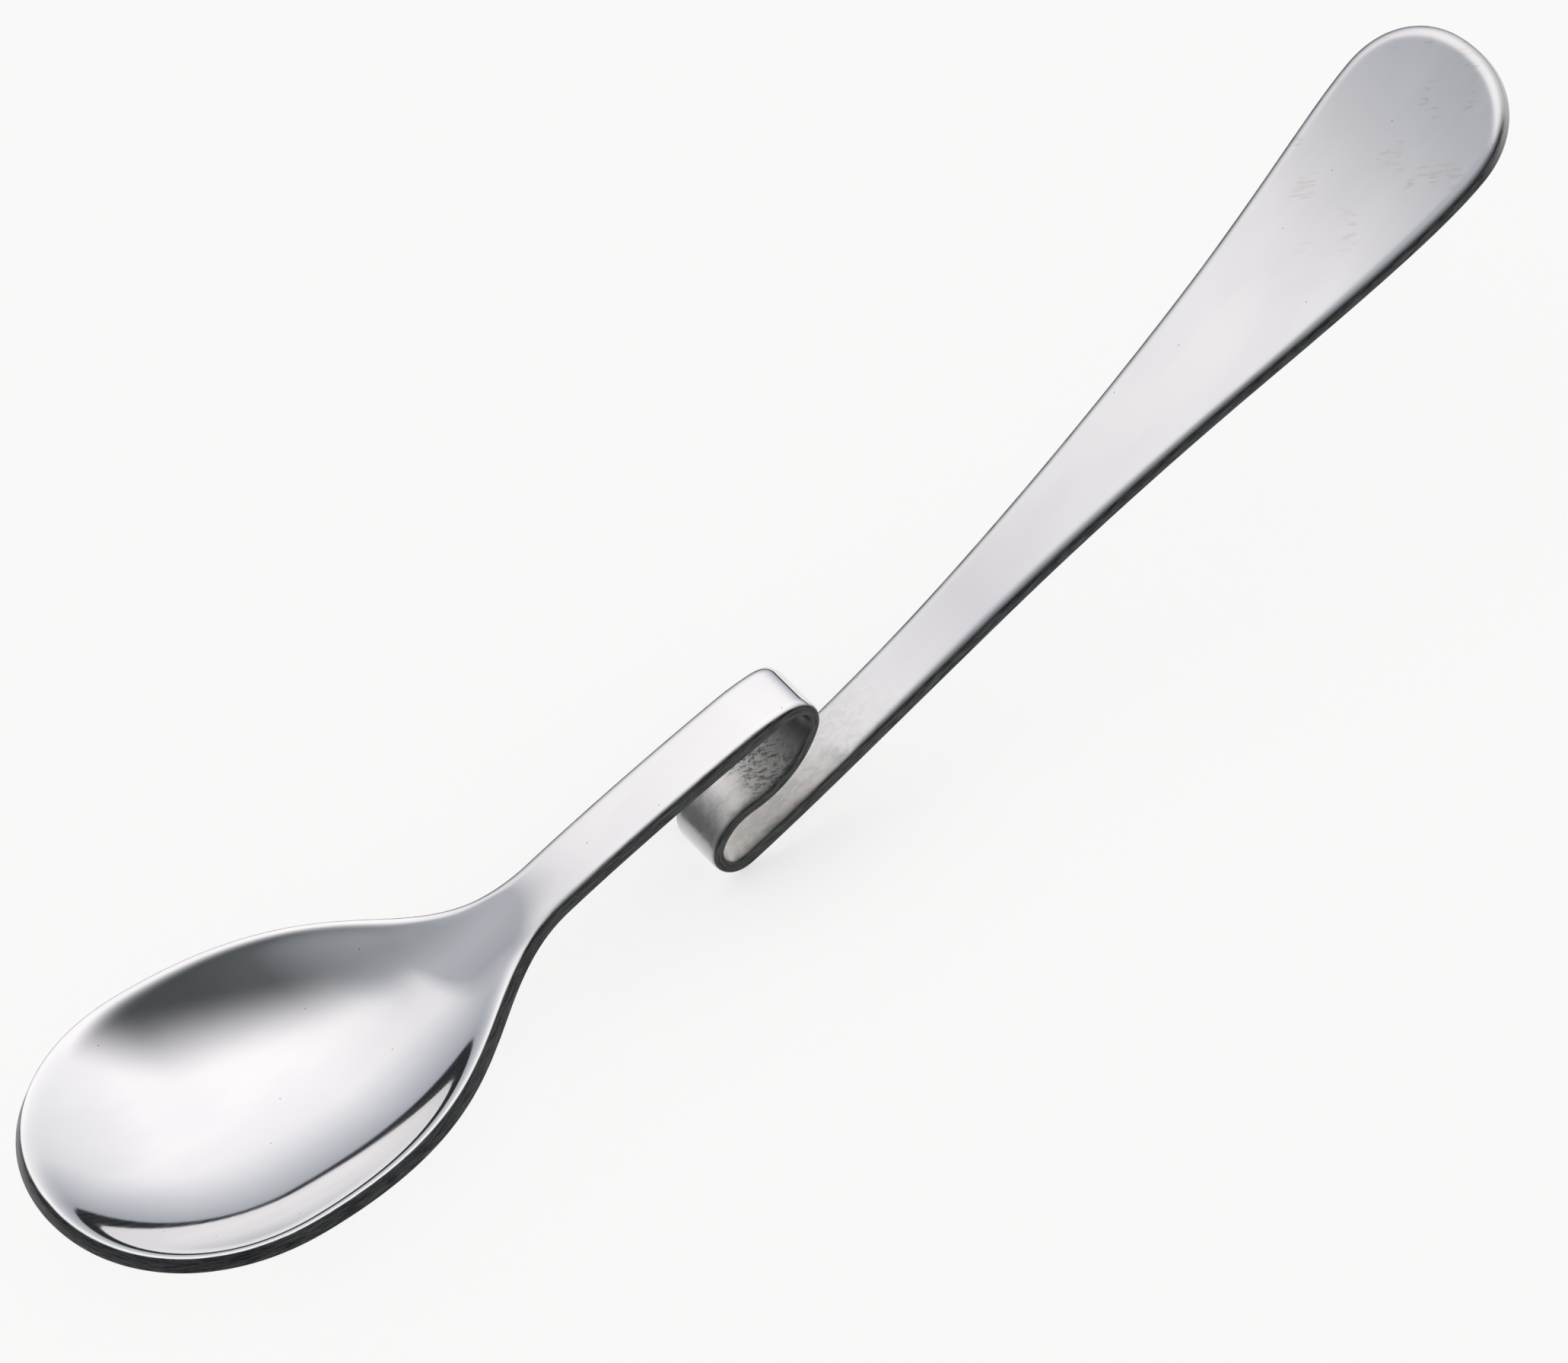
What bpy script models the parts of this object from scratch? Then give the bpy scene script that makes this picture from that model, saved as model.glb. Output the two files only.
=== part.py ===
"""Jam spoon with a jar hook: one strip of stainless steel, stamped flat, pressed, bent and polished.

Lengths are in metres and +Z is up. The spoon lies as it would on a table, on the underside of its bowl and
the lower bend of its hook. The bowl points to -X and the handle to +X, and the origin is under the middle.
"""

import math

import bmesh
import bpy
import numpy as np

MM = 0.001
NAME = "jam_spoon"

# Outline of the flat blank, half way through the sheet. A place "at" is measured along the strip from the
# tip of the bowl, which the blank doesn't quite reach: the pressed rim leans out to it.
TIP_AT = 0.45 * MM
BOWL_HALF_WIDTH = 20.0 * MM
BOWL_WIDEST_AT = 19.0 * MM
SHANK_HALF_WIDTH = 3.65 * MM
SHANK_STARTS_AT = 56.0 * MM
HANDLE_STARTS_AT = 119.2 * MM
HANDLE_HALF_WIDTH = 11.45 * MM
HANDLE_WIDEST_AT = 199.2 * MM
TIP_SQUARENESS = 2.1
END_SQUARENESS = 2.15

# How far each end of a swelling edge runs along the strip before it turns away.
BOWL_EDGE_RUN = 23.4 * MM
NECK_EDGE_RUN = 13.2 * MM
STEM_EDGE_RUN = 46.0 * MM
FLARE_EDGE_RUN = 11.4 * MM

# Bends from the tip of the bowl to the end of the handle, each as (length in mm, turn in degrees, + is up).
BENDS = (
    (42.5, 0.0),  # bowl, straight along its rim
    (8.3, 17.5),  # neck, where the stem levels out of the bowl's slope
    (28.6, -5.2),  # shank
    (4.3, -9.1),  # shoulder of the hook
    (3.55, -126.0),  # top bend
    (10.15, -53.0),  # return leg, running back under the shank
    (5.05, 52.5),  # return leg, curling down
    (4.6, 140.0),  # lower bend
    (31.75, 4.9),  # narrow part of the handle
    (33.2, 0.0),  # straight part of the handle
    (36.2, 8.0),  # lifted end of the handle
)
BEND_EASE = 2.0 * MM
STRIP_LENGTH = sum(length for length, turn in BENDS) * MM

# Sheet thickness.
BOWL_THICKNESS = 1.85 * MM
SHANK_THICKNESS = 1.6 * MM
RETURN_THICKNESS = 1.3 * MM
HANDLE_THICKNESS = 1.4 * MM

# Rolled-over edge of the sheet: how far in it starts, and how far the upper and the lower face drop.
BOWL_EDGE = (2.20 * MM, 0.40 * MM, 0.20 * MM)
SHANK_EDGE = (1.60 * MM, 0.35 * MM, 0.35 * MM)
HANDLE_EDGE = (3.00 * MM, 0.45 * MM, 0.45 * MM)

# Pressed bowl.
BOWL_DEPTH = 5.8 * MM
NECK_DEEPER = 0.5  # power of how much narrower the neck is, by which the hollow keeps its depth
DISH_FADES_AT = 42.0 * MM
DISH_ENDS_AT = 62.0 * MM

# Stations along the strip where one stretch hands over to the next.
NECK_STARTS_AT = 36.0 * MM
HOOK_STARTS_AT = 79.3 * MM
RETURN_STARTS_AT = 88.3 * MM
RETURN_ENDS_AT = 100.9 * MM
HOOK_ENDS_AT = 108.9 * MM
STEM_ENDS_AT = 151.2 * MM

# Mesh density.
ROW_STEP = 3.0 * MM
ROW_TURN = math.radians(14.0)
END_ROWS = 8
COLUMNS = 16
CURVE_SAMPLES = 4000
SLOPE_STEP = 0.02 * MM
SMALLEST = 1e-9
REST_SEARCH = math.radians(45.0)
REST_PRECISION = 1e-7

STEEL_COLOUR = (0.62, 0.61, 0.62, 1.0)
STEEL_ROUGHNESS = 0.12


def ease(at, start, end):
    """Rise smoothly from 0 at start to 1 at end."""
    t = np.clip((at - start) / (end - start), 0.0, 1.0)
    return t * t * (3.0 - 2.0 * t)


def swelling_edge(at, start, end, start_width, end_width, start_run, end_run):
    """Half width along a Bezier edge that leaves both of its ends parallel to the strip."""
    t = np.linspace(0.0, 1.0, CURVE_SAMPLES)
    pull, push = 3.0 * t * (1.0 - t) ** 2, 3.0 * t**2 * (1.0 - t)
    along = start * (1.0 - t) ** 3 + (start + start_run) * pull + (end - end_run) * push + end * t**3
    width = start_width + (end_width - start_width) * (push + t**3)
    return np.interp(at, along, width)


def rounded_end(along, across, squareness):
    """Turn a square patch, 0..1 along and -1..1 across, into half a disc, or a squarer one."""
    x = along * np.sqrt(1.0 - across**2 / 2.0)
    y = across * np.sqrt(1.0 - along**2 / 2.0)
    lobe = (np.abs(x) ** squareness + np.abs(y) ** squareness) ** (1.0 / squareness)
    stretch = np.hypot(x, y) / np.maximum(lobe, SMALLEST)
    return x * stretch, y * stretch


def end_half_width(share, squareness):
    """Half width of that end, as a share of the widest, at a share of the way out to its tip."""
    return (1.0 - np.clip(share, 0.0, 1.0) ** squareness) ** (1.0 / squareness)


def half_width(at):
    """Half width of the blank, from the tip of the bowl to the end of the handle."""
    bowl, shank, handle = BOWL_HALF_WIDTH, SHANK_HALF_WIDTH, HANDLE_HALF_WIDTH
    tip = bowl * end_half_width((BOWL_WIDEST_AT - at) / (BOWL_WIDEST_AT - TIP_AT), TIP_SQUARENESS)
    neck = swelling_edge(at, BOWL_WIDEST_AT, SHANK_STARTS_AT, bowl, shank, BOWL_EDGE_RUN, NECK_EDGE_RUN)
    flare = swelling_edge(
        at, HANDLE_STARTS_AT, HANDLE_WIDEST_AT, shank, handle, STEM_EDGE_RUN, FLARE_EDGE_RUN
    )
    past_widest = (at - HANDLE_WIDEST_AT) / (STRIP_LENGTH - HANDLE_WIDEST_AT)
    end = handle * end_half_width(past_widest, END_SQUARENESS)
    stretches = [at < BOWL_WIDEST_AT, at < HANDLE_STARTS_AT, at < HANDLE_WIDEST_AT]
    return np.select(stretches, [tip, neck, flare], end)


def edge_distance(at, across):
    """Distance in from the outline of the blank."""
    inside = np.maximum(half_width(at) ** 2 - across**2, 0.0)
    gain = half_width(at + SLOPE_STEP) ** 2 - half_width(at - SLOPE_STEP) ** 2
    return inside / np.maximum(np.hypot(2.0 * across, gain / (2.0 * SLOPE_STEP)), SMALLEST)


def strip_path(at):
    """Place (x, z) and heading of the bent strip's middle line."""
    lengths, turns = np.array(BENDS).T
    corners = np.concatenate([[0.0], np.cumsum(lengths)]) * MM
    headings = np.radians(np.concatenate([[0.0], np.cumsum(turns)]))
    fine = np.linspace(-BEND_EASE, STRIP_LENGTH + BEND_EASE, CURVE_SAMPLES)
    step = fine[1] - fine[0]
    swept = np.cumsum(np.interp(fine, corners, headings)) * step
    ahead, behind = fine + BEND_EASE / 2.0, fine - BEND_EASE / 2.0
    heading = (np.interp(ahead, fine, swept) - np.interp(behind, fine, swept)) / BEND_EASE
    x = np.cumsum(np.cos(heading)) * step
    z = np.cumsum(np.sin(heading)) * step
    return np.interp(at, fine, x), np.interp(at, fine, z), np.interp(at, fine, heading)


def row_stations():
    """Rows between the two rounded ends, closer together where the strip bends."""
    fine = np.linspace(BOWL_WIDEST_AT, HANDLE_WIDEST_AT, CURVE_SAMPLES)
    heading = strip_path(fine)[2]
    turned = np.concatenate([[0.0], np.cumsum(np.abs(np.diff(heading)))])
    effort = (fine - fine[0]) / ROW_STEP + turned / ROW_TURN
    return np.interp(np.linspace(0.0, effort[-1], math.ceil(effort[-1]) + 1), effort, fine)


def blank_places(row, column):
    """Place along and across the blank for each grid row, counted from the tip, and column, -1..1."""
    stations = row_stations()
    last_row = len(stations) - 1
    across = np.sin(column * math.pi / 2.0)
    to_tip = np.clip(1.0 - row / END_ROWS, 0.0, 1.0)
    to_end = np.clip((row - END_ROWS - last_row) / END_ROWS, 0.0, 1.0)
    tip_x, tip_y = rounded_end(np.sin(to_tip * math.pi / 2.0), across, TIP_SQUARENESS)
    end_x, end_y = rounded_end(np.sin(to_end * math.pi / 2.0), across, END_SQUARENESS)
    body_at = stations[np.clip(row - END_ROWS, 0, last_row)]
    in_tip, in_end = to_tip > 0.0, to_end > 0.0
    tip_at = BOWL_WIDEST_AT - (BOWL_WIDEST_AT - TIP_AT) * tip_x
    end_at = HANDLE_WIDEST_AT + (STRIP_LENGTH - HANDLE_WIDEST_AT) * end_x
    at = np.select([in_tip, in_end], [tip_at, end_at], body_at)
    wide = [BOWL_HALF_WIDTH * tip_y, HANDLE_HALF_WIDTH * end_y]
    return at, np.select([in_tip, in_end], wide, half_width(body_at) * across)


def along_strip(at, bowl, shank, handle):
    """A size that changes from bowl to shank at the neck, and from shank to handle past the hook."""
    size = bowl + (shank - bowl) * ease(at, NECK_STARTS_AT, SHANK_STARTS_AT)
    return size + (handle - shank) * ease(at, HOOK_ENDS_AT, STEM_ENDS_AT)


def half_thickness(at, across, side):
    """Half the sheet's thickness, less where its upper (side 1) or lower (side -1) edge is rolled over."""
    thickness = along_strip(at, BOWL_THICKNESS, SHANK_THICKNESS, HANDLE_THICKNESS)
    thinned = ease(at, HOOK_STARTS_AT, RETURN_STARTS_AT) - ease(at, RETURN_ENDS_AT, HOOK_ENDS_AT)
    thickness = thickness - (SHANK_THICKNESS - RETURN_THICKNESS) * thinned
    roll, upper_drop, lower_drop = (
        along_strip(at, *sizes) for sizes in zip(BOWL_EDGE, SHANK_EDGE, HANDLE_EDGE)
    )
    drop = np.where(side > 0.0, upper_drop, lower_drop)
    out = 1.0 - np.minimum(edge_distance(at, across) / roll, 1.0)
    return thickness / 2.0 - drop * (1.0 - np.sqrt(1.0 - out**3))


def dish(at, across):
    """Depth of the pressed bowl below its rim, which runs out along the neck."""
    hollow = (half_width(at) ** 2 - across**2) / BOWL_HALF_WIDTH**2
    narrower = BOWL_HALF_WIDTH / np.maximum(half_width(at), SHANK_HALF_WIDTH)
    deeper = np.where(at < BOWL_WIDEST_AT, 1.0, narrower**NECK_DEEPER)
    return BOWL_DEPTH * hollow * deeper * (1.0 - ease(at, DISH_FADES_AT, DISH_ENDS_AT))


def sheet_points(at, across, side):
    """Places on the upper (side 1) or lower (side -1) face: pressed, square to the sheet, and bent."""
    along = (dish(at + SLOPE_STEP, across) - dish(at, across)) / SLOPE_STEP
    aside = (dish(at, across + SLOPE_STEP) - dish(at, across - SLOPE_STEP)) / (2.0 * SLOPE_STEP)
    out = side * half_thickness(at, across, side) / np.sqrt(1.0 + along**2 + aside**2)
    shift, lift = out * along, out - dish(at, across)
    x, z, heading = strip_path(at)
    bent_x = x + shift * np.cos(heading) - lift * np.sin(heading)
    bent_z = z + shift * np.sin(heading) + lift * np.cos(heading)
    return np.stack([bent_x, across + out * aside, bent_z], axis=1)


def tilted(points, angle):
    """Points turned about the Y axis, handle end up for a positive angle."""
    x, y, z = points.T
    cosine, sine = math.cos(angle), math.sin(angle)
    return np.stack([x * cosine - z * sine, y, x * sine + z * cosine], axis=1)


def at_rest(points, in_bowl):
    """Points tilted until bowl and hook both touch the table, with the origin under the middle of the box."""
    low, high = -REST_SEARCH, REST_SEARCH
    while high - low > REST_PRECISION:
        angle = (low + high) / 2.0
        height = tilted(points, angle)[:, 2]
        if height[in_bowl].min() > height[~in_bowl].min():
            low = angle
        else:
            high = angle
    points = tilted(points, low)
    bottom, top = points.min(axis=0), points.max(axis=0)
    return points - [(bottom[0] + top[0]) / 2.0, 0.0, bottom[2]]


def spoon_mesh():
    """A flat grid given a thickness, then laid out as the blank, pressed, bent and set down."""
    rows = len(row_stations()) - 1 + 2 * END_ROWS
    shape = bmesh.new()
    bmesh.ops.create_grid(shape, x_segments=rows, y_segments=COLUMNS, size=1.0)
    bmesh.ops.solidify(shape, geom=shape.faces[:], thickness=1.0)
    grid = np.array([vertex.co for vertex in shape.verts])
    upper = grid[:, 2] > grid[:, 2].mean()
    row = np.rint((grid[:, 0] + 1.0) / 2.0 * rows).astype(int)
    at, across = blank_places(row, grid[:, 1])
    points = sheet_points(at, across, np.where(upper, 1.0, -1.0))
    for vertex, place in zip(shape.verts, at_rest(points, at < SHANK_STARTS_AT)):
        vertex.co = place
    bmesh.ops.recalc_face_normals(shape, faces=shape.faces[:])
    mesh = bpy.data.meshes.new(NAME)
    shape.to_mesh(mesh)
    shape.free()
    mesh.shade_smooth()
    return mesh


def polished_steel():
    material = bpy.data.materials.new("polished_stainless_steel")
    material.use_nodes = True
    shader = material.node_tree.nodes["Principled BSDF"]
    shader.inputs["Base Color"].default_value = STEEL_COLOUR
    shader.inputs["Roughness"].default_value = STEEL_ROUGHNESS
    shader.inputs["Metallic"].default_value = 1.0
    return material


def main():
    for item in list(bpy.data.objects):
        bpy.data.objects.remove(item, do_unlink=True)
    collection = bpy.data.collections.new(NAME)
    bpy.context.scene.collection.children.link(collection)
    spoon = bpy.data.objects.new(NAME, spoon_mesh())
    spoon.data.materials.append(polished_steel())
    collection.objects.link(spoon)


main()
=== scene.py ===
# %% [markdown]
# # Jam spoon with a jar hook
# The real spoon is one strip of stainless steel: stamped flat, pressed into a bowl at one end, folded into
# a hook that hangs on a jar's rim, and polished like a mirror. The frame brings in its solid, which is made
# of flat facets. A mirror shows every facet, so this lesson lays the same strip out again on a much finer
# grid, gives each part of it the finish that it has on the real spoon, paints shade onto the cut edge and
# inside the hook's bends, and sets up the studio that the steel reflects. The frame is loaded first,
# because everything is placed in it.

# %% Load the frame
import math

import bmesh
import bpy
import numpy as np
from mathutils import Matrix, Vector


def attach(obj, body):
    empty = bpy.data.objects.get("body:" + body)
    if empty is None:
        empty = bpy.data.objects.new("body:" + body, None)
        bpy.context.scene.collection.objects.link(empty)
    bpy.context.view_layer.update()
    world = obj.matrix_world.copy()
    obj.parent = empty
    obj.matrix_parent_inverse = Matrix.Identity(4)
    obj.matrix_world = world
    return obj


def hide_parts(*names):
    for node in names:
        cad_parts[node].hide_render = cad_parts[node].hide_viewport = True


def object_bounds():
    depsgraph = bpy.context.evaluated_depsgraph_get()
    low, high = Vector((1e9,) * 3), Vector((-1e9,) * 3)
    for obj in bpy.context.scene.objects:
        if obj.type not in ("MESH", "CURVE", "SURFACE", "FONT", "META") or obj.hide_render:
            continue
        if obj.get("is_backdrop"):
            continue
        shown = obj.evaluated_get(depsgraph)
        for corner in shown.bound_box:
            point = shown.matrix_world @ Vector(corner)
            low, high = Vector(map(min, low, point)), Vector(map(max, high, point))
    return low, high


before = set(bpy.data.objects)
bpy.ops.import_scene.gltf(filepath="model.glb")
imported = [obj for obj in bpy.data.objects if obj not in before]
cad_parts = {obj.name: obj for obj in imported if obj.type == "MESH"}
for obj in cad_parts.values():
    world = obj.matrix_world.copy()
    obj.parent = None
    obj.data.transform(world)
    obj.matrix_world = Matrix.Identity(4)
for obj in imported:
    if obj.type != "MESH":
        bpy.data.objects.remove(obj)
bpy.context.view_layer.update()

MM = 0.001
scene = bpy.context.scene
scene.view_settings.view_transform = "Standard"

# %% [markdown]
# ## Camera
# The photograph was taken with a long lens, so the spoon shows almost no perspective. It looks down on the
# strip from 45 degrees, and the picture is turned so that the handle runs up to the right. Three turns say
# that: about the spoon's width, about the picture's width, and about the line of sight. The lens follows
# from the scale of the photograph at the point that the camera aims at.

# %% Camera
PHOTO_WIDTH = 2061
PIXELS_PER_MM = 14.25
SENSOR_WIDTH = 36.0
CAMERA_DISTANCE = 1.2
CAMERA_AIM = Vector((-0.23, 0.0, 14.23)) * MM
STRIP_TILT = math.radians(-18.11)
LOOKS_DOWN = math.radians(45.0)
PICTURE_TURN = math.radians(-45.4)

camera = bpy.data.objects.new("camera", bpy.data.cameras.new("camera"))
scene.collection.objects.link(camera)
scene.camera = camera
camera.data.sensor_width = SENSOR_WIDTH
camera.data.lens = SENSOR_WIDTH * PIXELS_PER_MM * CAMERA_DISTANCE / MM / PHOTO_WIDTH
stand = Matrix.Rotation(STRIP_TILT, 4, "Y") @ Matrix.Rotation(math.pi / 2.0 - LOOKS_DOWN, 4, "X")
roll = Matrix.Rotation(PICTURE_TURN, 4, "Z")
back_off = Matrix.Translation((0.0, 0.0, CAMERA_DISTANCE))
camera.matrix_world = Matrix.Translation(CAMERA_AIM) @ stand @ roll @ back_off
print("lens in mm:", round(camera.data.lens, 1))

# %% [markdown]
# ## Colours and nodes
# Colours are written as the sRGB hex values that a colour picker shows, and one function turns them into
# the linear values that the renderer works with. A second one adds a node, sets it and links it. A Mix node
# has several sockets with the same name, one for each kind of value, so its sockets are called by number.

# %% Colour and node helpers
SHARE = 0  # how much of the second value a Mix node takes
UNDER, OVER, MIXED = 6, 7, 2  # two colours that it mixes, and the result
LESS, MORE = 2, 3  # two numbers that it mixes; their result is output 0


def linear(hex_colour):
    """Linear RGBA of an sRGB colour written as RRGGBB."""
    shares = [int(hex_colour[i : i + 2], 16) / 255.0 for i in (0, 2, 4)]
    return [s / 12.92 if s <= 0.04045 else ((s + 0.055) / 1.055) ** 2.4 for s in shares] + [1.0]


def add(tree, kind, inputs, **settings):
    """Add a node with its settings. An input is a value, or the output of another node."""
    node = tree.nodes.new(kind)
    for name, value in settings.items():
        setattr(node, name, value)
    for socket, value in inputs.items():
        if isinstance(value, bpy.types.NodeSocket):
            tree.links.new(value, node.inputs[socket])
        else:
            node.inputs[socket].default_value = value
    return node


def node_tree(owner):
    """The empty node tree of a material or a world."""
    owner.use_nodes = True
    owner.node_tree.nodes.clear()
    return owner.node_tree


print("the grey 808080 is", round(linear("808080")[0], 3), "in linear light")

# %% [markdown]
# ## Floor
# The floor is a plain pale sweep: a flat disc that curves up into a low wall all round, so that no view
# shows an edge. One point is pulled out to the radius, swung up through a quarter turn, and the line that
# this leaves is spun round the middle. The paper glows a little for the camera and for reflections alike,
# which keeps it near white while the spoon's soft shadow stays on it. Seen from below it is clear.

# %% Floor
FLOOR_RADIUS = 3.6
WALL_HEIGHT = 0.15
WALL_STEPS = 8
FLOOR_STEPS = 96
FLOOR_GLOW = 0.47
PAPER_COLOUR = "F0F0EF"
PAPER_ROUGHNESS = 0.9
PAPER_SHINE = 0.2

sweep = bmesh.new()
middle = bmesh.ops.create_vert(sweep, co=(0.0, 0.0, 0.0))["vert"][0]
outer = bmesh.ops.extrude_vert_indiv(sweep, verts=[middle])["verts"][0]
outer.co.x = FLOOR_RADIUS
bmesh.ops.spin(
    sweep, geom=[outer], cent=(FLOOR_RADIUS, 0.0, WALL_HEIGHT), axis=(0.0, 1.0, 0.0),
    angle=-math.pi / 2.0, steps=WALL_STEPS,
)
bmesh.ops.spin(
    sweep, geom=sweep.verts[:] + sweep.edges[:], cent=(0.0, 0.0, 0.0), axis=(0.0, 0.0, 1.0),
    angle=2.0 * math.pi, steps=FLOOR_STEPS, use_merge=True,
)
bmesh.ops.remove_doubles(sweep, verts=sweep.verts[:], dist=MM)
if sum(face.normal.z for face in sweep.faces) < 0.0:
    bmesh.ops.reverse_faces(sweep, faces=sweep.faces[:])
floor = bpy.data.objects.new("floor", bpy.data.meshes.new("floor"))
sweep.to_mesh(floor.data)
sweep.free()
floor.data.shade_smooth()
scene.collection.objects.link(floor)
floor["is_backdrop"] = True

paper = bpy.data.materials.new("matt_white_paper")
tree = node_tree(paper)
path = add(tree, "ShaderNodeLightPath", {})
seen = path.outputs["Is Camera Ray"]
for ray in ("Is Glossy Ray", "Is Transmission Ray"):
    seen = add(tree, "ShaderNodeMath", {0: seen, 1: path.outputs[ray]}, operation="MAXIMUM").outputs[0]
glow = add(tree, "ShaderNodeMath", {0: seen, 1: FLOOR_GLOW}, operation="MULTIPLY")
sheet = add(tree, "ShaderNodeBsdfPrincipled", {
    "Base Color": linear(PAPER_COLOUR), "Roughness": PAPER_ROUGHNESS, "Specular IOR Level": PAPER_SHINE,
    "Emission Color": linear("FFFFFF"), "Emission Strength": glow.outputs[0],
})
clear = add(tree, "ShaderNodeBsdfTransparent", {})
from_below = add(tree, "ShaderNodeNewGeometry", {}).outputs["Backfacing"]
both = add(tree, "ShaderNodeMixShader", {0: from_below, 1: sheet.outputs[0], 2: clear.outputs[0]})
add(tree, "ShaderNodeOutputMaterial", {"Surface": both.outputs[0]})
floor.data.materials.append(paper)
print("floor:", len(floor.data.polygons), "faces")

# %% [markdown]
# ## Studio light
# Polished steel has hardly a colour of its own: what the eye sees is the room. Cutlery is photographed in a
# tent of white cloth for that reason, and the bowl shows how this one is lit. The cloth is bright behind
# the spoon, greyer beyond the bowl and towards the table, and has a dark hem where it meets the table. A
# dark strip overhead, which no light reaches, puts the soft shade into the bowl's far wall, and past that
# strip the cloth is lit again. The tent is a half ball that only reflections see. It stands close, so each
# end of the spoon mirrors another part of it.

# %% Light tent
TENT_RADIUS = 1.0
TENT_STEPS = 48
TENT_LIGHT = 1.22
CLOTH_ALONG = (  # shade of the cloth by direction, from beyond the bowl to beyond the handle
    (-0.36, "AFB3B8"), (-0.265, "AEB2B7"), (-0.20, "E8E7E9"), (-0.16, "F1F0F1"), (-0.10, "F6F5F6"),
    (0.0, "FEFDFE"), (0.38, "FDFCFD"), (0.75, "E6E7E9"),
)
CLOTH_UP = (  # shade that multiplies it, from the hem up
    (0.02, "2C2E30"), (0.14, "2C2E30"), (0.155, "A8ADB3"), (0.37, "CFD2D6"), (0.50, "E6E7EA"),
    (0.60, "F6F5F6"), (0.80, "FFFEFF"),
)
DARK_ALONG = (  # shade of the strip overhead, from the bowl's end
    (-0.36, "94989C"), (-0.26, "808488"), (-0.12, "585B5E"), (0.05, "4A4D50"),
)
LIT_SIDE = (0.55, 0.84, 0.0)  # level direction, from which the strip overhead is counted
LIT_SHARE = ((-0.62, "FFFFFF"), (-0.42, "000000"), (-0.02, "000000"), (0.34, "FFFFFF"))
LOW_SHARE = ((0.5, "FFFFFF"), (0.8, "000000"))  # low down the cloth is lit all round

ball = bmesh.new()
bmesh.ops.create_uvsphere(ball, u_segments=TENT_STEPS, v_segments=TENT_STEPS // 2, radius=TENT_RADIUS)
bmesh.ops.bisect_plane(
    ball, geom=ball.verts[:] + ball.edges[:] + ball.faces[:], plane_co=(0.0, 0.0, 0.0),
    plane_no=(0.0, 0.0, 1.0), clear_inner=True,
)
bmesh.ops.reverse_faces(ball, faces=ball.faces[:])
tent = bpy.data.objects.new("light_tent", bpy.data.meshes.new("light_tent"))
ball.to_mesh(tent.data)
ball.free()
scene.collection.objects.link(tent)
tent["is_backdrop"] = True
print("tent:", len(tent.data.polygons), "faces")

# %% [markdown]
# ## Cloth of the tent
# A place on the ball, divided by its length, is a direction, and four numbers read from it choose the
# shade: how far it points along the spoon, how steeply it rises across it, how far to the lit side, and
# how high. Each number runs through a colour ramp. The ramps along and across are multiplied, as cloth that
# is dim for two reasons is dimmer still. The last two say where the unlit strip overhead takes over.

# %% Lit cloth of the tent
NOT_ALONG = (0.0, 1.0, 1.0)  # keeps what a direction has across the spoon and up

cloth = bpy.data.materials.new("lit_tent_cloth")
cloth.cycles.emission_sampling = "NONE"
tree = node_tree(cloth)
spot = add(tree, "ShaderNodeTexCoord", {}).outputs["Object"]
way = add(tree, "ShaderNodeVectorMath", {0: spot}, operation="NORMALIZE").outputs[0]
split = add(tree, "ShaderNodeSeparateXYZ", {0: way})
along, level = split.outputs["X"], split.outputs["Z"]
square_on = add(tree, "ShaderNodeVectorMath", {0: way, 1: NOT_ALONG}, operation="MULTIPLY").outputs[0]
square_on = add(tree, "ShaderNodeVectorMath", {0: square_on}, operation="NORMALIZE").outputs[0]
up = add(tree, "ShaderNodeSeparateXYZ", {0: square_on}).outputs["Z"]
aside = add(tree, "ShaderNodeVectorMath", {0: way, 1: LIT_SIDE}, operation="DOT_PRODUCT").outputs["Value"]
shades = []
for number, stops in (
    (along, CLOTH_ALONG), (up, CLOTH_UP), (along, DARK_ALONG), (aside, LIT_SHARE), (level, LOW_SHARE)
):
    low, high = stops[0][0], stops[-1][0]
    part = add(tree, "ShaderNodeMapRange", {"Value": number, "From Min": low, "From Max": high}).outputs[0]
    ramp = add(tree, "ShaderNodeValToRGB", {0: part})
    ramp.color_ramp.interpolation = "EASE" if stops in (LIT_SHARE, LOW_SHARE) else "LINEAR"
    for stop, colour in stops[1:-1]:
        ramp.color_ramp.elements.new((stop - low) / (high - low))
    for element, (stop, colour) in zip(ramp.color_ramp.elements, stops):
        element.color = linear(colour)
    shades.append(ramp.outputs["Color"])
lit_along, lit_up, unlit, lit_aside, lit_low = shades
lit = add(tree, "ShaderNodeMath", {0: lit_aside, 1: lit_low}, operation="MAXIMUM").outputs[0]
look = add(
    tree, "ShaderNodeMix", {SHARE: 1.0, UNDER: lit_along, OVER: lit_up},
    data_type="RGBA", blend_type="MULTIPLY",
).outputs[MIXED]
look = add(tree, "ShaderNodeMix", {SHARE: lit, UNDER: unlit, OVER: look}, data_type="RGBA").outputs[MIXED]
shine = add(tree, "ShaderNodeEmission", {"Color": look, "Strength": TENT_LIGHT}).outputs[0]
unseen = add(tree, "ShaderNodeBsdfTransparent", {}).outputs[0]
mirrored = add(tree, "ShaderNodeLightPath", {}).outputs["Is Glossy Ray"]
seen = add(tree, "ShaderNodeMixShader", {0: mirrored, 1: unseen, 2: shine}).outputs[0]
add(tree, "ShaderNodeOutputMaterial", {"Surface": seen})
tent.data.materials.append(cloth)
print("cloth:", len(shades), "ramps in", len(tree.nodes), "nodes")

# %% [markdown]
# ## Sky
# An even white sky lights the floor and the dull steel from all round, so that nothing has a hard shadow.

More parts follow.
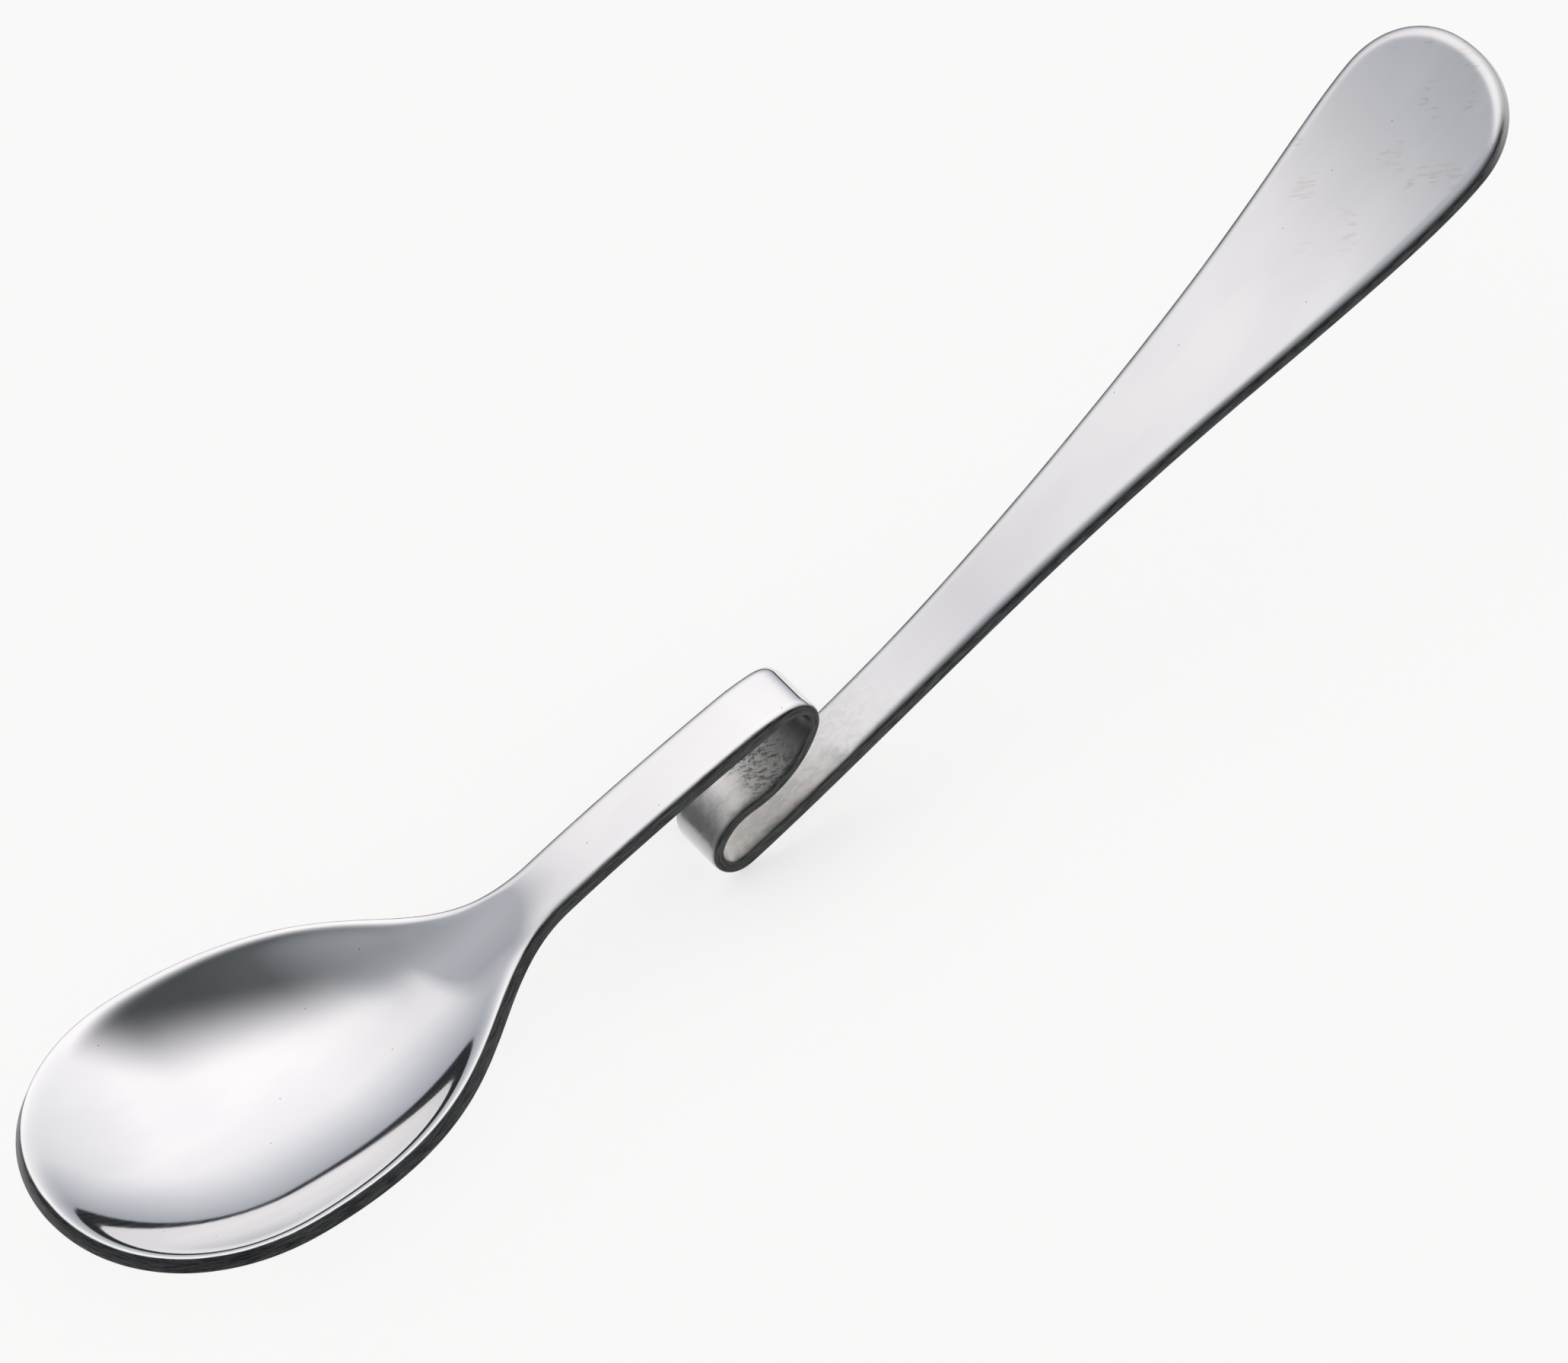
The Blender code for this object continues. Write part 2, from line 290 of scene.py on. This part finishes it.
# %% Even sky
SKY_LIGHT = 0.55
world = bpy.data.worlds.new("even_white_sky")
scene.world = world
tree = node_tree(world)
light = add(tree, "ShaderNodeBackground", {"Color": linear("FFFFFF"), "Strength": SKY_LIGHT})
add(tree, "ShaderNodeOutputWorld", {"Surface": light.outputs[0]})
print("sky:", SKY_LIGHT)

# %% [markdown]
# ## The flat blank
# The spoon starts as a flat blank, cut from sheet. A place on it is given by how far it lies along the
# strip from the tip of the bowl, and how far across. The outline is two round ends, a straight shank, and
# edges between them that swell along a smooth curve, as a die maker would draw them.

# %% Outline of the blank
TIP_AT = 0.45 * MM
BOWL_HALF_WIDTH = 20.0 * MM
BOWL_WIDEST_AT = 19.0 * MM
SHANK_HALF_WIDTH = 3.65 * MM
SHANK_STARTS_AT = 56.0 * MM
HANDLE_STARTS_AT = 119.2 * MM
HANDLE_HALF_WIDTH = 11.45 * MM
HANDLE_WIDEST_AT = 199.2 * MM
STRIP_LENGTH = 208.2 * MM
TIP_SQUARENESS = 2.1
END_SQUARENESS = 2.15
BOWL_EDGE_RUN = 23.4 * MM
NECK_EDGE_RUN = 13.2 * MM
STEM_EDGE_RUN = 46.0 * MM
FLARE_EDGE_RUN = 11.4 * MM
CURVE_SAMPLES = 4000
SMALLEST = 1e-9


def ease(at, start, end):
    """Rise smoothly from 0 at start to 1 at end."""
    t = np.clip((at - start) / (end - start), 0.0, 1.0)
    return t * t * (3.0 - 2.0 * t)


def swelling_edge(at, start, end, start_width, end_width, start_run, end_run):
    """Half width along a Bezier edge that leaves both of its ends parallel to the strip."""
    t = np.linspace(0.0, 1.0, CURVE_SAMPLES)
    pull, push = 3.0 * t * (1.0 - t) ** 2, 3.0 * t**2 * (1.0 - t)
    along = start * (1.0 - t) ** 3 + (start + start_run) * pull + (end - end_run) * push + end * t**3
    width = start_width + (end_width - start_width) * (push + t**3)
    return np.interp(at, along, width)


def rounded_end(along, across, squareness):
    """Turn a square patch, 0..1 along and -1..1 across, into half a disc, or a squarer one."""
    x = along * np.sqrt(1.0 - across**2 / 2.0)
    y = across * np.sqrt(1.0 - along**2 / 2.0)
    lobe = (np.abs(x) ** squareness + np.abs(y) ** squareness) ** (1.0 / squareness)
    stretch = np.hypot(x, y) / np.maximum(lobe, SMALLEST)
    return x * stretch, y * stretch


def end_half_width(share, squareness):
    """Half width of that end, as a share of the widest, at a share of the way out to its tip."""
    return (1.0 - np.clip(share, 0.0, 1.0) ** squareness) ** (1.0 / squareness)


def half_width(at):
    """Half width of the blank, from the tip of the bowl to the end of the handle."""
    bowl, shank, handle = BOWL_HALF_WIDTH, SHANK_HALF_WIDTH, HANDLE_HALF_WIDTH
    tip = bowl * end_half_width((BOWL_WIDEST_AT - at) / (BOWL_WIDEST_AT - TIP_AT), TIP_SQUARENESS)
    neck = swelling_edge(at, BOWL_WIDEST_AT, SHANK_STARTS_AT, bowl, shank, BOWL_EDGE_RUN, NECK_EDGE_RUN)
    flare = swelling_edge(
        at, HANDLE_STARTS_AT, HANDLE_WIDEST_AT, shank, handle, STEM_EDGE_RUN, FLARE_EDGE_RUN
    )
    past_widest = (at - HANDLE_WIDEST_AT) / (STRIP_LENGTH - HANDLE_WIDEST_AT)
    end = handle * end_half_width(past_widest, END_SQUARENESS)
    stretches = [at < BOWL_WIDEST_AT, at < HANDLE_STARTS_AT, at < HANDLE_WIDEST_AT]
    return np.select(stretches, [tip, neck, flare], end)


for name, at in {"bowl": BOWL_WIDEST_AT, "shank": SHANK_STARTS_AT, "handle": HANDLE_WIDEST_AT}.items():
    print(name, "is", round(2.0 * float(half_width(at)) / MM, 1), "mm wide")

# %% [markdown]
# ## Bends
# The blank is bent over a former, one bend after another. A list of lengths and turns describes that as a
# press operator would: so far straight on, then so many degrees up or down. Steel doesn't crease, so the
# heading is averaged over a short stretch, which rounds the start and the end of each bend.

# %% Bends
BENDS = (
    (42.5, 0.0),  # bowl, straight along its rim
    (8.3, 17.5),  # neck, where the stem levels out of the bowl's slope
    (28.6, -5.2),  # shank
    (4.3, -9.1),  # shoulder of the hook
    (3.55, -126.0),  # top bend
    (10.15, -53.0),  # return leg, running back under the shank
    (5.05, 52.5),  # return leg, curling down
    (4.6, 140.0),  # lower bend
    (31.75, 4.9),  # narrow part of the handle
    (33.2, 0.0),  # straight part of the handle
    (36.2, 8.0),  # lifted end of the handle
)
BEND_EASE = 2.0 * MM


def strip_path(at):
    """Place (x, z) and heading of the bent strip's middle line."""
    lengths, turns = np.array(BENDS).T
    corners = np.concatenate([[0.0], np.cumsum(lengths)]) * MM
    headings = np.radians(np.concatenate([[0.0], np.cumsum(turns)]))
    fine = np.linspace(-BEND_EASE, STRIP_LENGTH + BEND_EASE, CURVE_SAMPLES)
    step = fine[1] - fine[0]
    swept = np.cumsum(np.interp(fine, corners, headings)) * step
    ahead, behind = fine + BEND_EASE / 2.0, fine - BEND_EASE / 2.0
    heading = (np.interp(ahead, fine, swept) - np.interp(behind, fine, swept)) / BEND_EASE
    x = np.cumsum(np.cos(heading)) * step
    z = np.cumsum(np.sin(heading)) * step
    return np.interp(at, fine, x), np.interp(at, fine, z), np.interp(at, fine, heading)


print("turns in all:", round(sum(abs(turn) for length, turn in BENDS)), "degrees")

# %% [markdown]
# ## Sheet and bowl
# The sheet is thickest at the bowl and thinnest in the hook, where the bend stretches it. Its edges are
# rolled over: each face leaves the flat gently and drops ever faster to the cut edge, so a mirror shows no
# line where the roll starts, and a bright one round the rim. The very end of the handle dips by a hair, as
# polishing leaves it. The bowl is a dish pressed down from the rim, which fades out at the neck.

# %% Thickness, edges and dish
BOWL_THICKNESS = 1.85 * MM
SHANK_THICKNESS = 1.6 * MM
RETURN_THICKNESS = 1.3 * MM
HANDLE_THICKNESS = 1.4 * MM
BOWL_EDGE = (2.20 * MM, 0.40 * MM, 0.20 * MM)
SHANK_EDGE = (1.60 * MM, 0.35 * MM, 0.35 * MM)
HANDLE_EDGE = (1.70 * MM, 0.45 * MM, 0.45 * MM)
ROLL_POWER = 3.0
END_DIP = 0.06 * MM
END_DIPS_FROM = 196.0 * MM
BOWL_DEPTH = 5.8 * MM
NECK_DEEPER = 0.5  # power of how much narrower the neck is, by which the hollow keeps its depth
DISH_FADES_AT = 42.0 * MM
DISH_ENDS_AT = 62.0 * MM
NECK_STARTS_AT = 36.0 * MM
HOOK_STARTS_AT = 79.3 * MM
RETURN_STARTS_AT = 88.3 * MM
RETURN_ENDS_AT = 100.9 * MM
HOOK_ENDS_AT = 108.9 * MM
STEM_ENDS_AT = 151.2 * MM
SLOPE_STEP = 0.02 * MM


def edge_distance(at, across):
    """Distance in from the outline of the blank."""
    inside = np.maximum(half_width(at) ** 2 - across**2, 0.0)
    gain = half_width(at + SLOPE_STEP) ** 2 - half_width(at - SLOPE_STEP) ** 2
    return inside / np.maximum(np.hypot(2.0 * across, gain / (2.0 * SLOPE_STEP)), SMALLEST)


def along_strip(at, bowl, shank, handle):
    """A size that changes from bowl to shank at the neck, and from shank to handle past the hook."""
    size = bowl + (shank - bowl) * ease(at, NECK_STARTS_AT, SHANK_STARTS_AT)
    return size + (handle - shank) * ease(at, HOOK_ENDS_AT, STEM_ENDS_AT)


def rolled(at, across, side):
    """How far out on the rolled edge (0 flat, 1 at the cut), its width, and how far that face drops."""
    roll_width, upper_drop, lower_drop = (
        along_strip(at, *sizes) for sizes in zip(BOWL_EDGE, SHANK_EDGE, HANDLE_EDGE)
    )
    out = 1.0 - np.minimum(edge_distance(at, across) / roll_width, 1.0)
    return out, roll_width, np.where(side > 0.0, upper_drop, lower_drop)


def half_thickness(at, across, side):
    """Half the sheet's thickness, less where its upper (side 1) or lower (side -1) edge is rolled over."""
    thickness = along_strip(at, BOWL_THICKNESS, SHANK_THICKNESS, HANDLE_THICKNESS)
    thinned = ease(at, HOOK_STARTS_AT, RETURN_STARTS_AT) - ease(at, RETURN_ENDS_AT, HOOK_ENDS_AT)
    thickness = thickness - (SHANK_THICKNESS - RETURN_THICKNESS) * thinned
    out, roll_width, drop = rolled(at, across, side)
    dipped = np.maximum(at - END_DIPS_FROM, 0.0) / (STRIP_LENGTH - END_DIPS_FROM)
    return thickness / 2.0 - side * END_DIP * dipped**2 - drop * (1.0 - np.sqrt(1.0 - out**ROLL_POWER))


def dish(at, across):
    """Depth of the pressed bowl below its rim, which runs out along the neck."""
    hollow = (half_width(at) ** 2 - across**2) / BOWL_HALF_WIDTH**2
    narrower = BOWL_HALF_WIDTH / np.maximum(half_width(at), SHANK_HALF_WIDTH)
    deeper = np.where(at < BOWL_WIDEST_AT, 1.0, narrower**NECK_DEEPER)
    return BOWL_DEPTH * hollow * deeper * (1.0 - ease(at, DISH_FADES_AT, DISH_ENDS_AT))


def sheet_points(at, across, side):
    """Places on the upper (side 1) or lower (side -1) face: pressed, square to the sheet, and bent."""
    along = (dish(at + SLOPE_STEP, across) - dish(at, across)) / SLOPE_STEP
    aside = (dish(at, across + SLOPE_STEP) - dish(at, across - SLOPE_STEP)) / (2.0 * SLOPE_STEP)
    out = side * half_thickness(at, across, side) / np.sqrt(1.0 + along**2 + aside**2)
    shift, lift = out * along, out - dish(at, across)
    x, z, heading = strip_path(at)
    bent_x = x + shift * np.cos(heading) - lift * np.sin(heading)
    bent_z = z + shift * np.sin(heading) + lift * np.cos(heading)
    return np.stack([bent_x, across + out * aside, bent_z], axis=1)


for name, at in {"bowl": BOWL_WIDEST_AT, "hook": RETURN_STARTS_AT, "handle": STEM_ENDS_AT}.items():
    print(name, "sheet is", round(2.0 * float(half_thickness(at, 0.0, 1.0)) / MM, 2), "mm thick")

# %% [markdown]
# ## Laying out the grid
# A flat grid, given a thickness, becomes the spoon: its rows follow the strip, closer together where it
# bends, and its columns run across, closer together at the edges. The two ends of the grid are drawn into
# half discs, so that no row has to shrink to a point. Then every vertex is lifted by half the thickness,
# sunk by the dish, and carried along the bends, and the spoon is tilted until it rests on the table.

# %% Rows and columns of the grid
ROW_STEP = 0.8 * MM
ROW_TURN = math.radians(4.0)
END_ROWS = 28
COLUMNS = 72
REST_SEARCH = math.radians(45.0)
REST_PRECISION = 1e-7


def row_stations():
    """Rows between the two rounded ends, closer together where the strip bends."""
    fine = np.linspace(BOWL_WIDEST_AT, HANDLE_WIDEST_AT, CURVE_SAMPLES)
    heading = strip_path(fine)[2]
    turned = np.concatenate([[0.0], np.cumsum(np.abs(np.diff(heading)))])
    effort = (fine - fine[0]) / ROW_STEP + turned / ROW_TURN
    return np.interp(np.linspace(0.0, effort[-1], math.ceil(effort[-1]) + 1), effort, fine)


def blank_places(row, column):
    """Place along and across the blank for each grid row, counted from the tip, and column, -1..1."""
    stations = row_stations()
    last_row = len(stations) - 1
    across = np.sin(column * math.pi / 2.0)
    to_tip = np.clip(1.0 - row / END_ROWS, 0.0, 1.0)
    to_end = np.clip((row - END_ROWS - last_row) / END_ROWS, 0.0, 1.0)
    tip_x, tip_y = rounded_end(np.sin(to_tip * math.pi / 2.0), across, TIP_SQUARENESS)
    end_x, end_y = rounded_end(np.sin(to_end * math.pi / 2.0), across, END_SQUARENESS)
    body_at = stations[np.clip(row - END_ROWS, 0, last_row)]
    in_tip, in_end = to_tip > 0.0, to_end > 0.0
    tip_at = BOWL_WIDEST_AT - (BOWL_WIDEST_AT - TIP_AT) * tip_x
    end_at = HANDLE_WIDEST_AT + (STRIP_LENGTH - HANDLE_WIDEST_AT) * end_x
    at = np.select([in_tip, in_end], [tip_at, end_at], body_at)
    wide = [BOWL_HALF_WIDTH * tip_y, HANDLE_HALF_WIDTH * end_y]
    return at, np.select([in_tip, in_end], wide, half_width(body_at) * across)


def tilted(points, angle):
    """Points turned about the Y axis, handle end up for a positive angle."""
    x, y, z = points.T
    cosine, sine = math.cos(angle), math.sin(angle)
    return np.stack([x * cosine - z * sine, y, x * sine + z * cosine], axis=1)


def at_rest(points, in_bowl):
    """Points tilted until bowl and hook touch the table, with the origin under the middle of the box."""
    low, high = -REST_SEARCH, REST_SEARCH
    while high - low > REST_PRECISION:
        angle = (low + high) / 2.0
        height = tilted(points, angle)[:, 2]
        if height[in_bowl].min() > height[~in_bowl].min():
            low = angle
        else:
            high = angle
    points = tilted(points, low)
    bottom, top = points.min(axis=0), points.max(axis=0)
    return points - [(bottom[0] + top[0]) / 2.0, 0.0, bottom[2]]


print("rows between the rounded ends:", len(row_stations()))

# %% Spoon
rows = len(row_stations()) - 1 + 2 * END_ROWS
strip = bmesh.new()
bmesh.ops.create_grid(strip, x_segments=rows, y_segments=COLUMNS, size=1.0)
bmesh.ops.solidify(strip, geom=strip.faces[:], thickness=1.0)
grid = np.array([vertex.co for vertex in strip.verts])
upper = grid[:, 2] > grid[:, 2].mean()
row = np.rint((grid[:, 0] + 1.0) / 2.0 * rows).astype(int)
at, across = blank_places(row, grid[:, 1])
side = np.where(upper, 1.0, -1.0)
points = sheet_points(at, across, side)
for vertex, point in zip(strip.verts, at_rest(points, at < SHANK_STARTS_AT)):
    vertex.co = point
bmesh.ops.recalc_face_normals(strip, faces=strip.faces[:])
spoon = bpy.data.objects.new("polished_spoon", bpy.data.meshes.new("polished_spoon"))
strip.to_mesh(spoon.data)
strip.free()
spoon.data.shade_smooth()
scene.collection.objects.link(spoon)
print("spoon:", len(spoon.data.polygons), "faces")

# %% [markdown]
# ## Where the finish changes
# The buffing wheel reaches the outside of the spoon, but not the inside of the hook, which stays as the
# rolled sheet left it, marked where the tool pressed on the return leg. Its skin also gets a painted shade,
# darker towards the two bends. The cut edge gets a painted shade as well: nearly black, for the dark
# surroundings that it mirrors, and less dark towards the end of the handle, a painted lighter reflection
# there. Fingers also touch that end. Each of these is painted on the points as a number from 0 to 1, worked
# out from the place on the strip. The place itself is painted on too, in millimetres, so that scratches
# and grain can follow the strip through its bends.

# %% Finishes and painted shade on the points
SLOT_DULL_FROM = (76.0 * MM, 80.0 * MM)
SLOT_DULL_TO = (100.5 * MM, 104.5 * MM)
STEM_DULL_FROM = (101.6 * MM, 103.6 * MM)
STEM_DULL_TO = (111.0 * MM, 131.0 * MM)
PRESSED_FROM = (88.5 * MM, 92.5 * MM)
PRESSED_TO = (94.5 * MM, 98.0 * MM)
# painted shade inside the hook: the skin is darker up to the first pair and from the second, towards both
# bends
BEND_SHADE_TO = (87.5 * MM, 94.0 * MM)
BEND_SHADE_FROM = (98.0 * MM, 102.5 * MM)
TOUCHED_FROM = (178.0 * MM, 196.0 * MM)
# painted shade: from these turns of the roll on, the cut edge is coloured nearly black, for the dark
# surroundings it mirrors
PAINTED_EDGE_SHADE_FROM = np.radians([45.0, 3.0, 2.0])  # how far the edge has rolled over, at bowl, shank and handle
PAINTED_EDGE_SHADE_TO = np.radians([70.0, 34.0, 30.0])
# painted light: at the very end of the handle the edge shade is lifted by this share, for the lighter
# surroundings that the end's edge mirrors
END_PAINTED_LIGHT = 0.6

slot_face = ease(at, *SLOT_DULL_FROM) * (1.0 - ease(at, *SLOT_DULL_TO))
stem_face = ease(at, *STEM_DULL_FROM) * (1.0 - ease(at, *STEM_DULL_TO))
out, roll_width, drop = rolled(at, across, side)
steepness = ROLL_POWER / 2.0 * out ** (ROLL_POWER - 1.0) * drop / roll_width
turn_over = np.arctan2(steepness, np.sqrt(np.maximum(1.0 - out**ROLL_POWER, SMALLEST)))
# painted shade on the cut edge, growing as the roll turns over
painted_edge_shade = ease(turn_over, along_strip(at, *PAINTED_EDGE_SHADE_FROM), along_strip(at, *PAINTED_EDGE_SHADE_TO))
# painted light at the handle's end, which takes away part of the painted edge shade
painted_end_light = END_PAINTED_LIGHT * ease(at, HANDLE_WIDEST_AT, STRIP_LENGTH)
finishes_and_painted_shade = {
    "dull": np.where(upper, stem_face, slot_face),
    "painted_edge_shade": painted_edge_shade * (1.0 - painted_end_light),
    "touched": np.where(upper, ease(at, *TOUCHED_FROM), 0.0),
    "pressed": np.where(upper, 0.0, ease(at, *PRESSED_FROM) * (1.0 - ease(at, *PRESSED_TO))),
    # painted shade on the slot's skin, towards both bends of the hook
    "painted_bend_shade": np.where(upper, 0.0, 1.0 - ease(at, *BEND_SHADE_TO) + ease(at, *BEND_SHADE_FROM)),
}
for name, values in finishes_and_painted_shade.items():
    layer = spoon.data.attributes.new(name, "FLOAT", "POINT")
    layer.data.foreach_set("value", values.astype(np.float32))
    print(name, "on", int((values > 0.5).sum()), "of", len(values), "points")
places = np.stack([at, across, side * half_thickness(at, across, side)], axis=1) / MM
layer = spoon.data.attributes.new("place_mm", "FLOAT_VECTOR", "POINT")
layer.data.foreach_set("vector", places.astype(np.float32).ravel())

# %% [markdown]
# ## Patterns in the steel
# Stainless steel for cutlery is cold rolled, stamped, and then buffed with finer and finer compound. Looked
# at closely it is never quite even: the buffing leaves faint clouds and hairlines, the unbuffed slot keeps
# the mottled skin, pits and scratches of the press, the cut edge has a grain along it, and fingers leave a
# few brownish marks. Each pattern is a noise with a real size along, across and through the sheet, so one
# loop makes them all. Hairlines and grain are really some hundredths of a millimetre wide, too fine for the
# picture, and are drawn a few times coarser. Specks are the middles of cells of which few are picked.

# %% Patterns
PATTERNS = {  # size in mm along, across and through the sheet, turn, detail, distortion, fade
    "clouds": ((16.0, 7.0, 3.0), 0.0, 2.0, 0.0, (0.35, 0.65)),
    "hairlines": ((8.0, 0.18, 1.0), 0.0, 2.0, 0.0, (0.40, 0.64)),
    "smudges": ((2.0, 0.34, 1.0), -50.0, 2.0, 0.3, (0.48, 0.72)),
    "smudged": ((5.0, 3.5, 3.0), 20.0, 1.0, 0.0, (0.54, 0.66)),
    "mottle": ((1.1, 0.8, 1.0), 0.0, 8.0, 0.5, (0.38, 0.62)),
    "pits": ((0.7, 0.5, 1.0), 30.0, 8.0, 0.5, (0.46, 0.64)),
    "scratches": ((0.22, 2.0, 1.0), 28.0, 4.0, 0.6, (0.52, 0.68)),
    "cross_scratches": ((0.20, 1.8, 1.0), -48.0, 3.0, 0.6, (0.56, 0.68)),
    "edge_grain": ((1.6, 1.6, 0.12), 0.0, 2.0, 0.0, (0.36, 0.64)),
}
SPECK_SPACING = 3.6  # mm
SPECK_SIZE = 0.13  # mm
SPECK_SHARE = 0.10

steel = bpy.data.materials.new("buffed_stainless_steel")
tree = node_tree(steel)
place = add(tree, "ShaderNodeAttribute", {}, attribute_name="place_mm").outputs["Vector"]
# cut carries the painted shade of the cut edge
dull, cut, touched, pressed, painted_bend_shade = (
    add(tree, "ShaderNodeAttribute", {}, attribute_name=name).outputs["Fac"] for name in finishes_and_painted_shade
)
amount = {}
for name, (sizes, turn, detail, distortion, fade) in PATTERNS.items():
    spread = add(tree, "ShaderNodeMapping", {
        "Vector": place, "Rotation": (0.0, 0.0, math.radians(turn)), "Scale": sizes,
    }, vector_type="TEXTURE")
    noise = add(tree, "ShaderNodeTexNoise", {
        "Vector": spread.outputs[0], "Scale": 1.0, "Detail": detail, "Distortion": distortion,
    })
    amount[name] = add(tree, "ShaderNodeMapRange", {
        "Value": noise.outputs[0], "From Min": fade[0], "From Max": fade[1],
    }, interpolation_type="SMOOTHSTEP").outputs[0]
cells = add(
    tree, "ShaderNodeTexVoronoi", {"Vector": place, "Scale": 1.0 / SPECK_SPACING}, voronoi_dimensions="2D"
)
near = add(
    tree, "ShaderNodeMath", {0: cells.outputs["Distance"], 1: SPECK_SIZE / SPECK_SPACING / 2.0},
    operation="LESS_THAN",
)
picked = add(tree, "ShaderNodeSeparateColor", {0: cells.outputs["Color"]}).outputs[0]
picked = add(tree, "ShaderNodeMath", {0: picked, 1: SPECK_SHARE}, operation="LESS_THAN")
amount["specks"] = add(
    tree, "ShaderNodeMath", {0: near.outputs[0], 1: picked.outputs[0]}, operation="MULTIPLY"
).outputs[0]
for name, share in (
    ("smudges", amount["smudged"]), ("smudges", touched), ("pits", pressed), ("scratches", pressed),
    ("cross_scratches", pressed),
):
    amount[name] = add(
        tree, "ShaderNodeMath", {0: amount[name], 1: share}, operation="MULTIPLY"
    ).outputs[0]
print("patterns:", ", ".join(amount))

# %% [markdown]
# ## Buffed stainless steel
# To the eye, buffed steel is a slightly warm white mirror, a little soft. There are three kinds of surface:
# the buffed faces with their clouds, finger marks and specks, the grey mottled skin of the slot with its
# marks and a painted shade towards the bends, and the grain of the cut edge between two near-black colours,
# which are painted shade. Each is a pattern between two colours with marks laid over it in turn, so a loop
# builds all three, and the painted numbers then lay one finish over the other.

# %% Colours of the steel
FINISH_AND_SHADE_COLOURS = {  # a pattern, the two colours between which it varies, and the marks over them
    "buffed": ("clouds", "E9E8E8", "E4E3E4", (
        (amount["smudges"], "D4CDC4"),
        (amount["specks"], "8A857F"),
    )),
    "skin": ("mottle", "DEDBD6", "F8F5F2", (
        (pressed, "C6C4C0"),
        (amount["pits"], "7E7C79"),
        (amount["scratches"], "E2E0DC"),
        (amount["cross_scratches"], "6E6C69"),
        # painted shade, darkest towards the hook's bends
        (painted_bend_shade, "4A4948"),
    )),
    # the cut edge: two near-black colours, a painted shade for the dark surroundings that it mirrors
    "edge": ("edge_grain", "353636", "4E4F4F", ()),
}

colours = {}
for name, (pattern, first, second, marks) in FINISH_AND_SHADE_COLOURS.items():
    colour = linear(first)
    for share, over in ((amount[pattern], second), *marks):
        colour = add(
            tree, "ShaderNodeMix", {SHARE: share, UNDER: colour, OVER: linear(over)}, data_type="RGBA"
        ).outputs[MIXED]
    colours[name] = colour
colour = colours["buffed"]
# the skin over the slot, then the painted edge shade over the cut edge
for share, over in ((dull, colours["skin"]), (cut, colours["edge"])):
    colour = add(
        tree, "ShaderNodeMix", {SHARE: share, UNDER: colour, OVER: over}, data_type="RGBA"
    ).outputs[MIXED]
print("finishes:", ", ".join(colours))

# %% [markdown]
# ## Gloss and relief
# The buffed faces are nearly a mirror, a little rougher along the hairlines. The slot scatters light, and
# some of it comes back as from a grey coat of oxide, so it is not all metal. Pits and scratches are a few
# hundredths of a millimetre deep, and one bump node gives them and the grain of the edge their depth.

# %% Gloss, relief and shader
BUFFED_ROUGHNESS = (0.045, 0.075)
DULL_ROUGHNESS = (0.34, 0.46)
EDGE_ROUGHNESS = 0.30
DULL_METAL = 0.75
RELIEF = (  # share of the depth, below the face where negative
    ("mottle", dull, 0.2), ("pits", dull, -0.8), ("scratches", dull, -0.6), ("cross_scratches", dull, 0.5),
    ("edge_grain", cut, 0.4),
)
RELIEF_DEPTH = 0.03 * MM

gloss, matt = (
    add(tree, "ShaderNodeMix", {SHARE: amount[name], LESS: smooth, MORE: rough}).outputs[0]
    for name, (smooth, rough) in (("hairlines", BUFFED_ROUGHNESS), ("mottle", DULL_ROUGHNESS))
)
roughness = add(tree, "ShaderNodeMix", {SHARE: dull, LESS: gloss, MORE: matt}).outputs[0]
roughness = add(tree, "ShaderNodeMix", {SHARE: cut, LESS: roughness, MORE: EDGE_ROUGHNESS}).outputs[0]
metal = add(tree, "ShaderNodeMix", {SHARE: dull, LESS: 1.0, MORE: DULL_METAL}).outputs[0]
height = 0.0
for name, where, depth in RELIEF:
    rise = add(tree, "ShaderNodeMath", {0: amount[name], 1: where}, operation="MULTIPLY").outputs[0]
    height = add(
        tree, "ShaderNodeMath", {0: rise, 1: depth, 2: height}, operation="MULTIPLY_ADD"
    ).outputs[0]
bump = add(tree, "ShaderNodeBump", {"Height": height, "Distance": RELIEF_DEPTH}).outputs[0]
shader = add(tree, "ShaderNodeBsdfPrincipled", {
    "Base Color": colour, "Metallic": metal, "Roughness": roughness, "Normal": bump,
})
add(tree, "ShaderNodeOutputMaterial", {"Surface": shader.outputs[0]})
spoon.data.materials.append(steel)
print("steel:", len(tree.nodes), "nodes")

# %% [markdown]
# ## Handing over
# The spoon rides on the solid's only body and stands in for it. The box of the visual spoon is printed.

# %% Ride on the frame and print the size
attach(spoon, "root")
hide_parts("jam_spoon")
low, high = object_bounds()
print("box of the visual spoon in mm:", [round(size / MM, 1) for size in high - low])
